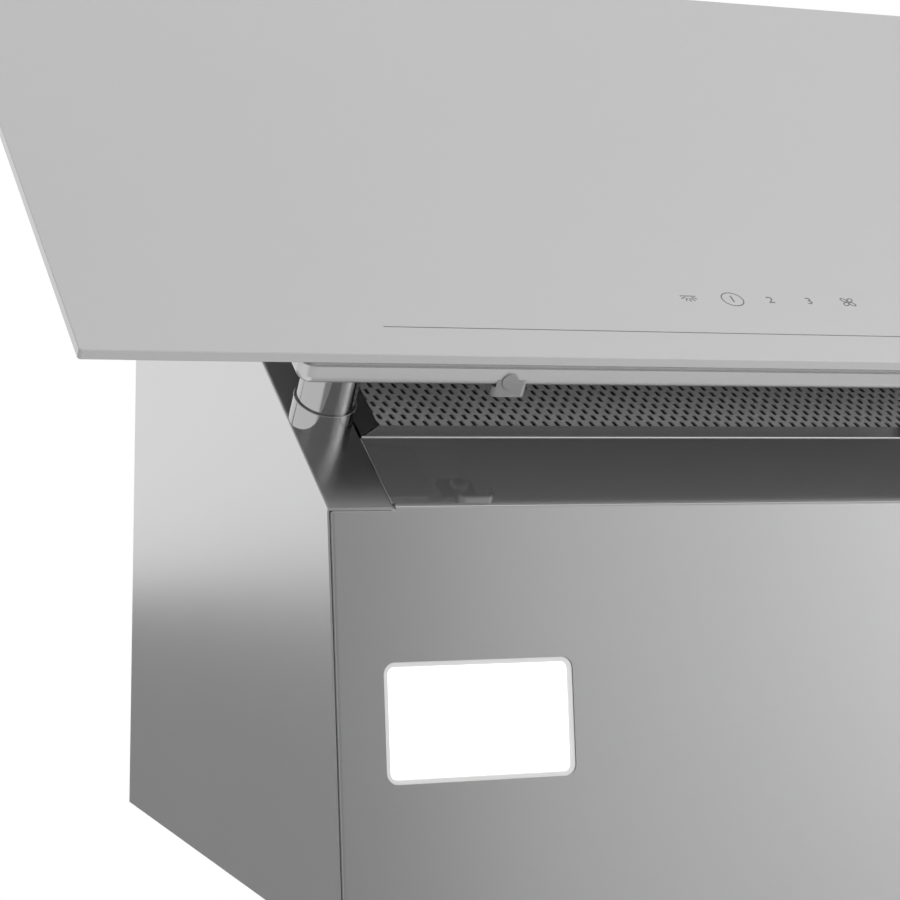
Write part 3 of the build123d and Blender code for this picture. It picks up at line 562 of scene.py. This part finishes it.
def board_material(tint):
    """Circuit board with tracks and solder."""
    material, tree, shader, place = new_material("board")
    tracks = tree.nodes.new("ShaderNodeGroup")
    tracks.node_tree = bpy.data.node_groups["board_tracks"]
    tree.links.new(place, tracks.inputs["Vector"])
    tracks.inputs["Color"].default_value = (*tint, 1.0)
    tree.links.new(tracks.outputs["Color"], shader.inputs["Base Color"])
    tree.links.new(spread(tree, tracks.outputs["Height"], 0.35, 0.25), shader.inputs["Roughness"])
    bump(tree, shader, tracks.outputs["Height"], 0.00004)
    return material


def shown_above(tree, value, level):
    """A mask that is 1 where a socket's value is above a level."""
    return math_node(tree, "GREATER_THAN", value, level)


def parts_of(material):
    """A finish's node tree, its shader and its Object coordinates."""
    tree = material.node_tree
    places = next(n for n in tree.nodes if n.bl_idname == "ShaderNodeTexCoord")
    return tree, tree.nodes["Principled BSDF"], places.outputs["Object"]


def distance_along(tree, place, axis):
    """How far each point lies along an axis."""
    along = node(tree, "ShaderNodeVectorMath", operation="DOT_PRODUCT")
    tree.links.new(place, along.inputs[0])
    along.inputs[1].default_value = axis
    return along.outputs["Value"]


def change_inside(tree, shader, mask, roughness_factor, metallic):
    """Where a mask is 1, multiplies the roughness and sets the metallic value, which is 1 elsewhere."""
    given = shader.inputs["Roughness"].links[0].from_socket
    factor = spread(tree, mask, 1.0, roughness_factor)
    tree.links.new(math_node(tree, "MULTIPLY", given, factor), shader.inputs["Roughness"])
    tree.links.new(spread(tree, mask, 1.0, metallic), shader.inputs["Metallic"])


def pan_material(tint):
    """Satin steel of the underside, which is polished where the pan turns up in front."""
    material = grained("pan_steel", tint, SATIN_ROUGHNESS, 0.01, **SHEET)
    tree, shader, place = parts_of(material)
    height = distance_along(tree, place, (0.0, 0.0, 1.0))
    change_inside(tree, shader, shown_above(tree, height, FRONT_EDGE.z + PAN_TURN_HEIGHT), 0.3, 0.9)
    return material


def tube_material(tint):
    """Bright polished tube, whose foot plate under the tray is left satin."""
    material = grained("tube_steel", tint, 0.09, 0.015, depth=0)
    tree, shader, place = parts_of(material)
    foot = FRONT_EDGE.dot(FRONT_OUT) + front_span("catch_strip_left")[1].z - FOOT_BEHIND_CATCH
    outward = distance_along(tree, place, FRONT_OUT)
    change_inside(tree, shader, shown_above(tree, outward, foot), 4.5, 0.4)
    return material


def rim_material(tint):
    """Polished surround of the filter, tinted dark as painted shade, with a painted highlight (a pale
    band) along its upper and lower edges.
    """
    material = grained("filter_rim", tint, 0.1, 0.015, metallic=0.85)
    tree, shader, place = parts_of(material)
    low, high = front_span("filter_frame")
    start = FRONT_EDGE.dot(FRONT_RISE)
    up = distance_along(tree, place, FRONT_RISE)
    # Bands along the upper and lower edges that carry the painted highlight.
    above = shown_above(tree, up, start + high.y - PAINTED_HIGHLIGHT_WIDTH)
    below = math_node(tree, "LESS_THAN", up, start + low.y + PAINTED_HIGHLIGHT_WIDTH)
    shade = node(tree, "ShaderNodeMix", data_type="RGBA")
    tree.links.new(math_node(tree, "MAXIMUM", above, below), shade.inputs["Factor"])
    tree.links.new(shader.inputs["Base Color"].links[0].from_socket, shade.inputs["A"])
    shade.inputs["B"].default_value = (*RIM_PAINTED_HIGHLIGHT, 1.0)
    tree.links.new(shade.outputs["Result"], shader.inputs["Base Color"])
    return material


def make_finishes():
    """Every finish, under the name of its material slot or of its own."""
    grain_group()
    weave_group()
    track_group()
    tone = bpy.context.scene.hood_finishes
    across = (0.02, 1.0, 1.0)
    return {
        "steel_satin": grained("steel_satin", tone.steel, SATIN_ROUGHNESS, 0.01, metallic=1.0, **SHEET),
        "steel_polished": grained(
            "steel_polished", tone.polished_steel, 0.2, 0.01, metallic=0.5, **SHEET
        ),
        "steel_bright": grained("steel_bright", tone.bright_steel, 0.09, 0.015, metallic=1.0),
        "steel_plain": grained(
            "steel_plain", tone.plain_steel, 0.34, 0.06, scale=260.0, metallic=1.0
        ),
        "filter_steel": grained("filter_steel", tone.filter_steel, 0.36, 0.02, metallic=0.6, **SHEET),
        "filter_rim": rim_material(tone.steel_in_painted_shade),
        "pan_steel": pan_material(tone.steel),
        "tube_steel": tube_material(tone.bright_steel),
        "catch_steel": grained("catch_steel", tone.catch_steel, 0.2, 0.015, depth=0, metallic=0.6),
        "frame_steel": grained("frame_steel", tone.polished_steel, 0.4, 0.02, across, metallic=0.1),
        "filter_wire": weave_material(tone.steel_in_painted_shade),
        "magnet": grained("magnet", tone.magnet, 0.5, 0.15, scale=700.0),
        "glass_painted": grained(
            "glass_painted", tone.paint, 0.035, 0.008, scale=30.0, depth=0.000001, coat_weight=0.5,
            coat_roughness=0.02,
        ),
        "lamp_lens": lens_material(tone.lens),
        "lamp_bezel": grained("lamp_bezel", tone.moulding, 0.4, 0.01, scale=1400.0),
        "lamp_box": grained("lamp_box", tone.moulding, 0.5, 0.02, scale=1100.0),
        "board": board_material(tone.board),
        "black_plastic": grained(
            "black_plastic", tone.dark_moulding, 0.45, 0.1, scale=1000.0, depth=0.00003
        ),
        "motor_can": grained("motor_can", tone.motor, 0.4, 0.08, scale=500.0, depth=0.00003),
        "pale_plastic": grained("pale_plastic", tone.moulding, 0.42, 0.02, scale=1000.0),
        "ink": grained("ink", tone.ink, 0.5, 0.1, scale=2500.0),
    }


# Operators: the frame's finishes, each new piece, and the studio


class HoodDressFrame(bpy.types.Operator):
    """Gives every node of the frame its finish"""

    bl_idname = "hood.dress_frame"
    bl_label = "Dress the frame"

    def execute(self, context):
        finishes = make_finishes()
        for part in frame["record"]["subparts"]:
            piece = frame["nodes"][part["node"]]
            piece.data.materials.clear()
            own = OWN_FINISHES.get(part["node"], part["material_slot"])
            piece.data.materials.append(finishes[own])
        return {"FINISHED"}


def slotted_cell(sizes, across, up):
    """One cell of the filter face with its slot cut out, as a flat sheet round the origin."""
    corners = 8
    turn = math.pi / corners
    radius = sizes.slot_width / 2 / math.cos(turn)
    bpy.ops.mesh.primitive_circle_add(vertices=corners, radius=radius, location=(0, 0, 0))
    cell = bpy.context.object
    bpy.ops.object.mode_set(mode="EDIT")
    pick_all()
    bpy.ops.transform.rotate(value=turn, orient_axis="Z", center_override=(0, 0, 0))
    reach = sizes.slot_length / 2 - radius * math.cos(turn)
    for side in (-1, 1):
        pick(cell, "vertices", lambda v: v.co.y * side > 0)
        bpy.ops.transform.translate(value=(0, side * reach, 0))
    pick_all()
    bpy.ops.transform.rotate(value=-sizes.slot_tilt, orient_axis="Z", center_override=(0, 0, 0))
    bpy.ops.mesh.select_all(action="DESELECT")
    bpy.ops.mesh.primitive_plane_add(size=1, location=(0, 0, 0))
    bpy.ops.transform.resize(value=(across, up, 1), center_override=(0, 0, 0))
    bpy.ops.mesh.delete(type="ONLY_FACE")
    pick_all()
    bpy.ops.mesh.bridge_edge_loops()
    return cell


def cell_block(cell, across, up):
    """Two rows of two cells, slotted and plain in turn."""
    bpy.ops.mesh.select_all(action="DESELECT")
    bpy.ops.mesh.primitive_plane_add(size=1, location=(across, 0, 0))
    bpy.ops.transform.resize(value=(across, up, 1), center_override=(across, 0, 0))
    pick(cell, "polygons", lambda f: f.center.x < across / 2)
    bpy.ops.mesh.duplicate_move(TRANSFORM_OT_translate={"value": (across, up, 0)})
    pick(cell, "polygons", lambda f: f.center.x > across / 2 and f.center.y < up / 2)
    bpy.ops.mesh.duplicate_move(TRANSFORM_OT_translate={"value": (-across, up, 0)})
    bpy.ops.object.mode_set(mode="OBJECT")
    return tidy(cell)


def push_side(face, axis, value, step):
    """Extrudes the sheet's edges that lie at a place along an axis, by a step."""
    verts = face.data.vertices

    def on_side(edge):
        return all(abs(verts[i].co[axis] - value) < NEAR for i in edge.vertices)

    pick(face, "edges", on_side)
    move = [0.0, 0.0, 0.0]
    move[axis] = step
    bpy.ops.mesh.extrude_region_move(TRANSFORM_OT_translate={"value": move})


class HoodFilterFace(bpy.types.Operator):
    """Makes the filter's perforated face"""

    bl_idname = "hood.filter_face"
    bl_label = "Perforated filter face"

    def execute(self, context):
        sizes = context.scene.hood_sizes
        deselect()
        across, up = sizes.slot_pitch_across / 2, sizes.slot_pitch_up / 2
        cell = slotted_cell(sizes, across, up)
        face = cell_block(cell, across, up)
        columns = int((FACE_HIGH.x - across / 2) / across)
        start_row = -int((sizes.first_row - FACE_LOW.y - up / 2) / up)
        rows = int((FACE_HIGH.y - sizes.first_row - up / 2) / up) - start_row + 1
        if (columns + start_row) % 2:
            start_row += 1
            rows -= 1
        for step, count in (((2 * across, 0, 0), columns + 1), ((0, 2 * up, 0), (rows + 1) // 2)):
            apply_modifier(
                face, "ARRAY", count=count, use_relative_offset=False, use_constant_offset=True,
                constant_offset_displace=step, use_merge_vertices=True, merge_threshold=NEAR,
            )
        first = Vector((-columns * across, sizes.first_row + start_row * up, 0))
        settle(face, Matrix.Translation(first))
        low_x, high_x = -(columns + 0.5) * across, (columns + 0.5) * across
        low_y = first.y - up / 2
        high_y = low_y + rows * up
        bpy.ops.object.mode_set(mode="EDIT")
        for co, no in (((high_x, 0, 0), (1, 0, 0)), ((0, high_y, 0), (0, 1, 0))):
            pick_all()
            bpy.ops.mesh.bisect(plane_co=co, plane_no=no, clear_outer=True)
        push_side(face, 0, low_x, FACE_LOW.x - low_x)
        push_side(face, 0, high_x, FACE_HIGH.x - high_x)
        push_side(face, 1, low_y, FACE_LOW.y - low_y)
        push_side(face, 1, high_y, FACE_HIGH.y - high_y)
        tidy(face)
        if face.data.polygons[0].normal.z < 0:
            bpy.ops.object.mode_set(mode="EDIT")
            pick_all()
            bpy.ops.mesh.flip_normals()
            bpy.ops.object.mode_set(mode="OBJECT")
        thickness = FACE_HIGH.z - FACE_LOW.z
        apply_modifier(face, "SOLIDIFY", thickness=thickness, offset=-1.0)
        settle(face, FRONT @ Matrix.Translation((0, 0, FACE_HIGH.z)))
        finish_piece(face, "filter_face_slotted", "filter", finish("filter_steel"))
        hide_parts("filter_face")
        return {"FINISHED"}


def print_place(across, up):
    """A place on the glass's front face."""
    return FRONT @ Matrix.Translation((across, up, GLASS_FRONT))


def print_text(word, height, across, up, thickness):
    """A number printed on the glass."""
    deselect()
    bpy.ops.object.text_add(location=(0, 0, 0))
    text = bpy.context.object
    text.data.body = word
    text.data.size = height / CAPITAL_HEIGHT
    text.data.align_x = "CENTER"
    text.data.align_y = "CENTER"
    text.data.extrude = thickness / 2
    text.data.resolution_u = 4
    bpy.ops.object.convert(target="MESH")
    raised = Matrix.Translation((0, 0, thickness / 2))
    return settle(bpy.context.object, print_place(across, up) @ raised)


def print_bar(width, length, place, thickness):
    """A printed bar, centred on its place, with rounded ends."""
    deselect()
    bpy.ops.mesh.primitive_plane_add(size=1, location=(0, 0, 0))
    bar = bpy.context.object
    bpy.ops.object.mode_set(mode="EDIT")
    pick_all()
    bpy.ops.transform.resize(value=(length, width, 1), center_override=(0, 0, 0))
    pick(bar, "vertices", lambda v: True)
    bpy.ops.mesh.bevel(offset=width * 0.45, segments=3, affect="VERTICES")
    pick_all()
    bpy.ops.mesh.extrude_region_move(TRANSFORM_OT_translate={"value": (0, 0, thickness)})
    bpy.ops.object.mode_set(mode="OBJECT")
    return settle(tidy(bar), place)


def print_ring(radius, width, place, thickness, squeeze=1.0):
    """A printed ring, or an oval where squeeze isn't 1."""
    deselect()
    bpy.ops.mesh.primitive_circle_add(vertices=32, radius=radius, location=(0, 0, 0))
    ring = bpy.context.object
    bpy.ops.object.mode_set(mode="EDIT")
    pick_all()
    bpy.ops.transform.resize(value=(squeeze, 1, 1), center_override=(0, 0, 0))
    bpy.ops.mesh.edge_face_add()
    bpy.ops.mesh.inset(thickness=width)
    bpy.ops.mesh.delete(type="FACE")
    pick_all()
    bpy.ops.mesh.extrude_region_move(TRANSFORM_OT_translate={"value": (0, 0, thickness)})
    bpy.ops.object.mode_set(mode="OBJECT")
    return settle(tidy(ring), place)


class HoodGlassPrint(bpy.types.Operator):
    """Prints the touch symbols and the thin line on the glass"""

    bl_idname = "hood.glass_print"
    bl_label = "Print on the glass"

    def execute(self, context):
        sizes = context.scene.hood_sizes
        at, thickness = sizes.print_at, sizes.print_thickness
        for word, across in NUMBERS.items():
            text = print_text(word, sizes.print_height, across, at, thickness)
            self.keep(text, f"glass_print_{word}")
        ring = print_ring(RING_RADIUS, STROKE, print_place(NUMBERS["1"], at), thickness)
        self.keep(ring, "glass_print_ring")
        centre = print_place(LAMP_SYMBOL_AT, at + LAMP_SYMBOL_LIFT)
        rays = [print_bar(STROKE, LAMP_SYMBOL_LENGTH, centre, thickness)]
        for turn in RAY_TURNS:
            place = centre @ Matrix.Rotation(math.radians(turn - 90), 4, "Z")
            place = place @ Matrix.Translation((RAY_AT, 0, 0))
            rays.append(print_bar(STROKE, RAY_LENGTH, place, thickness))
        self.keep(joined("glass_print_lamp", rays), "glass_print_lamp")
        centre = print_place(FAN_SYMBOL_AT, at)
        blades = []
        for turn in FAN_TURNS:
            place = centre @ Matrix.Rotation(math.radians(turn), 4, "Z")
            place = place @ Matrix.Translation((0, BLADE_AT, 0))
            blades.append(print_ring(BLADE_RADIUS, STROKE, place, thickness, BLADE_SQUEEZE))
        self.keep(joined("glass_print_fan", blades), "glass_print_fan")
        place = print_place(0.0, sizes.line_at)
        line = print_bar(sizes.line_width, 2 * sizes.line_half, place, thickness)
        self.keep(line, "glass_print_line")
        return {"FINISHED"}

    def keep(self, piece, name):
        """Inks a printed piece and lets it ride on the glass."""
        finish_piece(piece, name, "glass_lift", finish("ink"))


def screw(head_radius, head_height, shank_radius, shank_length):
    """A pan-head screw with a cross recess. Its head stands on the origin's plane, its shank goes down."""
    deselect()
    bpy.ops.mesh.primitive_cylinder_add(
        vertices=28, radius=head_radius, depth=head_height, location=(0, 0, head_height / 2)
    )
    head = bpy.context.object
    bpy.ops.object.mode_set(mode="EDIT")
    verts = head.data.vertices
    top = head_height * 0.5

    def top_rim(edge):
        return all(verts[i].co.z > top - MERGE for i in edge.vertices)

    pick(head, "edges", top_rim)
    bpy.ops.mesh.bevel(offset=head_height * 0.45, segments=4, profile=0.5)
    pick(head, "polygons", lambda f: f.normal.z < -0.9)
    bpy.ops.mesh.inset(thickness=head_radius - shank_radius)
    bpy.ops.mesh.extrude_region_move(TRANSFORM_OT_translate={"value": (0, 0, -shank_length)})
    bpy.ops.object.mode_set(mode="OBJECT")
    settle(head)
    cutters = []
    for turn in (0, 90):
        bpy.ops.mesh.primitive_cube_add(size=1, location=(0, 0, 0))
        cutter = bpy.context.object
        bpy.ops.transform.resize(value=(head_radius * 1.05, head_radius * 0.22, head_height * 0.5))
        place = Matrix.Translation((0, 0, head_height)) @ Matrix.Rotation(math.radians(turn), 4, "Z")
        cutters.append(settle(cutter, place))
        deselect()
    for cutter in cutters:
        apply_modifier(head, "BOOLEAN", operation="DIFFERENCE", object=cutter, solver="EXACT")
        bpy.data.objects.remove(cutter)
    return tidy(head)


class HoodScrews(bpy.types.Operator):
    """Makes the catch screws and the screws round the duct collar"""

    bl_idname = "hood.screws"
    bl_label = "Screws"

    def execute(self, context):
        self.catch_screws()
        self.outlet_screws()
        return {"FINISHED"}

    def catch_screws(self):
        """One under each catch strip, with its head towards the front."""
        low, high = front_span("catch_screws")
        radius = (high.y - low.y) / 2
        seat = low.z + CATCH_HEAD_HEIGHT
        model = screw(radius, CATCH_HEAD_HEIGHT, CATCH_SHANK_RADIUS, high.z - seat)
        places = []
        for across in (low.x + radius, high.x - radius):
            place = FRONT @ Matrix.Translation((across, (low.y + high.y) / 2, seat))
            places.append(place @ Matrix.Rotation(math.pi, 4, "X"))
        screws = self.spread_out(model, places, "catch_screw_set", "glass_lift")
        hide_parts("catch_screws")

    def outlet_screws(self):
        """Four round the duct collar, each turned by a different angle."""
        low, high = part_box("outlet_screws")
        radius = OUTLET_HEAD_RADIUS
        seat = high.z - OUTLET_HEAD_HEIGHT
        model = screw(radius, OUTLET_HEAD_HEIGHT, OUTLET_SHANK_RADIUS, seat - low.z)
        places = []
        for x in (low.x + radius, high.x - radius):
            for y in (low.y + radius, high.y - radius):
                turn = Matrix.Rotation(x * 9 + y * 4, 4, "Z")
                places.append(Matrix.Translation((x, y, seat)) @ turn)
        screws = self.spread_out(model, places, "outlet_screw_set", "hood")
        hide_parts("outlet_screws")

    def spread_out(self, model, places, name, body):
        """Sets a copy of the model screw in each place, and makes them one piece on a body."""
        spots = [copied(model, place) for place in places]
        bpy.data.objects.remove(model)
        screws = joined(name, spots)
        return finish_piece(screws, name, body, finish("steel_plain"), SMOOTH_ANGLE)


def studio_lamp(name, place, aim, width, height, power):
    """A soft rectangular lamp that points at a place."""
    lamp = bpy.data.lights.new(name, "AREA")
    lamp.shape = "RECTANGLE"
    lamp.size = width
    lamp.size_y = height
    lamp.energy = power
    holder = bpy.data.objects.new(name, lamp)
    bpy.context.scene.collection.objects.link(holder)
    holder.location = place
    holder.visible_camera = holder.visible_glossy = False
    holder.rotation_euler = (Vector(aim) - Vector(place)).to_track_quat("-Z", "Y").to_euler()
    return holder


class HoodStudioSet(bpy.types.Operator):
    """Sets up the floor, the light and the camera"""

    bl_idname = "hood.studio"
    bl_label = "Studio"

    def execute(self, context):
        studio = context.scene.hood_studio
        self.light_world(context.scene, studio.ambient)
        self.lay_floor(studio.floor_level)
        for name, (place, aim, width, height, share) in LAMPS.items():
            studio_lamp(name, place, aim, width, height, studio.lamp_power * share)
        for name, (place, across, deep, shade) in CARDS.items():
            self.hang_card(name, place, across, deep, shade)
        self.place_camera(context.scene)
        context.scene.view_settings.view_transform = "Standard"
        return {"FINISHED"}

    def light_world(self, scene, ambient):
        """Soft light from all round. The camera, metal and glass see plain white."""
        world = bpy.data.worlds.new("studio")
        scene.world = world
        world.use_nodes = True
        tree = world.node_tree
        rays = tree.nodes.new("ShaderNodeLightPath").outputs
        seen = math_node(tree, "MAXIMUM", rays["Is Camera Ray"], rays["Is Glossy Ray"])
        seen = math_node(tree, "MAXIMUM", seen, rays["Is Transmission Ray"])
        back = tree.nodes["Background"]
        back.inputs["Color"].default_value = (1.0, 1.0, 1.0, 1.0)
        tree.links.new(spread(tree, seen, ambient, 1.0), back.inputs["Strength"])

    def lay_floor(self, level):
        """A plain pale floor."""
        deselect()
        bpy.ops.mesh.primitive_plane_add(size=12, location=(0, -1.0, level))
        floor = bpy.context.object
        floor.name = "studio_floor"
        material, tree, shader, place = new_material("studio_floor")
        slow = node(tree, "ShaderNodeTexNoise", scale=0.8)
        tree.links.new(place, slow.inputs["Vector"])
        shade = node(tree, "ShaderNodeMix", data_type="RGBA")
        shade.inputs["A"].default_value = (0.6, 0.6, 0.6, 1.0)
        shade.inputs["B"].default_value = (0.64, 0.64, 0.64, 1.0)
        tree.links.new(slow.outputs["Fac"], shade.inputs["Factor"])
        tree.links.new(shade.outputs["Result"], shader.inputs["Base Color"])
        shader.inputs["Roughness"].default_value = MATT
        floor.data.materials.append(material)
        deselect()

    def hang_card(self, name, place, across, deep, shade):
        """A level grey card that only polished metal sees, for the soft shades across its faces."""
        deselect()
        bpy.ops.mesh.primitive_plane_add(size=1, location=place)
        bpy.ops.transform.resize(value=(across, deep, 1))
        card = bpy.context.object
        card.name = name
        material, tree, shader, coordinates = new_material(name)
        slow = node(tree, "ShaderNodeTexNoise", scale=0.8)
        tree.links.new(coordinates, slow.inputs["Vector"])
        tree.links.new(spread(tree, slow.outputs["Fac"], shade, shade * 1.1), shader.inputs["Base Color"])
        shader.inputs["Roughness"].default_value = MATT
        card.data.materials.append(material)
        card.visible_camera = card.visible_diffuse = card.visible_shadow = False
        deselect()

    def place_camera(self, scene):
        """The photograph's view, from below and to the left."""
        lens = bpy.data.cameras.new("camera")
        lens.lens = CAMERA_LENS
        lens.sensor_width = CAMERA_SENSOR
        lens.clip_start = 0.05
        lens.clip_end = 40.0
        camera = bpy.data.objects.new("camera", lens)
        scene.collection.objects.link(camera)
        turn = Matrix((CAMERA_RIGHT, -CAMERA_DOWN, -CAMERA_AHEAD)).transposed().to_4x4()
        camera.matrix_world = Matrix.Translation(CAMERA_PLACE) @ turn
        scene.camera = camera


# Panel and registration

PIECES = (HoodDressFrame, HoodFilterFace, HoodGlassPrint, HoodScrews, HoodStudioSet)


class HoodPanel(bpy.types.Panel):
    """Lists the hood's sizes, finishes and makers"""

    bl_idname = "VIEW3D_PT_hood"
    bl_label = "Range hood"
    bl_space_type = "VIEW_3D"
    bl_region_type = "UI"
    bl_category = "Range hood"

    def draw(self, context):
        layout = self.layout
        for piece in PIECES:
            layout.operator(piece.bl_idname)
        for group in (context.scene.hood_sizes, context.scene.hood_finishes, context.scene.hood_studio):
            box = layout.box()
            for name in group.__annotations__:
                box.prop(group, name)


GROUPS = {"hood_sizes": HoodSizes, "hood_finishes": HoodFinishes, "hood_studio": HoodStudio}


def register():
    """Registers the classes and puts their settings on the scene."""
    for item in (*GROUPS.values(), *PIECES, HoodPanel):
        bpy.utils.register_class(item)
    for name, group in GROUPS.items():
        setattr(bpy.types.Scene, name, bpy.props.PointerProperty(type=group))


def unregister():
    """Takes the settings and classes away again."""
    for name in GROUPS:
        delattr(bpy.types.Scene, name)
    for item in (HoodPanel, *reversed(PIECES), *reversed(tuple(GROUPS.values()))):
        bpy.utils.unregister_class(item)


def main():
    """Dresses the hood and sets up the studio."""
    register()
    bpy.ops.hood.dress_frame()
    bpy.ops.hood.filter_face()
    bpy.ops.hood.glass_print()
    bpy.ops.hood.screws()
    bpy.ops.hood.studio()


if __name__ == "__main__":
    main()
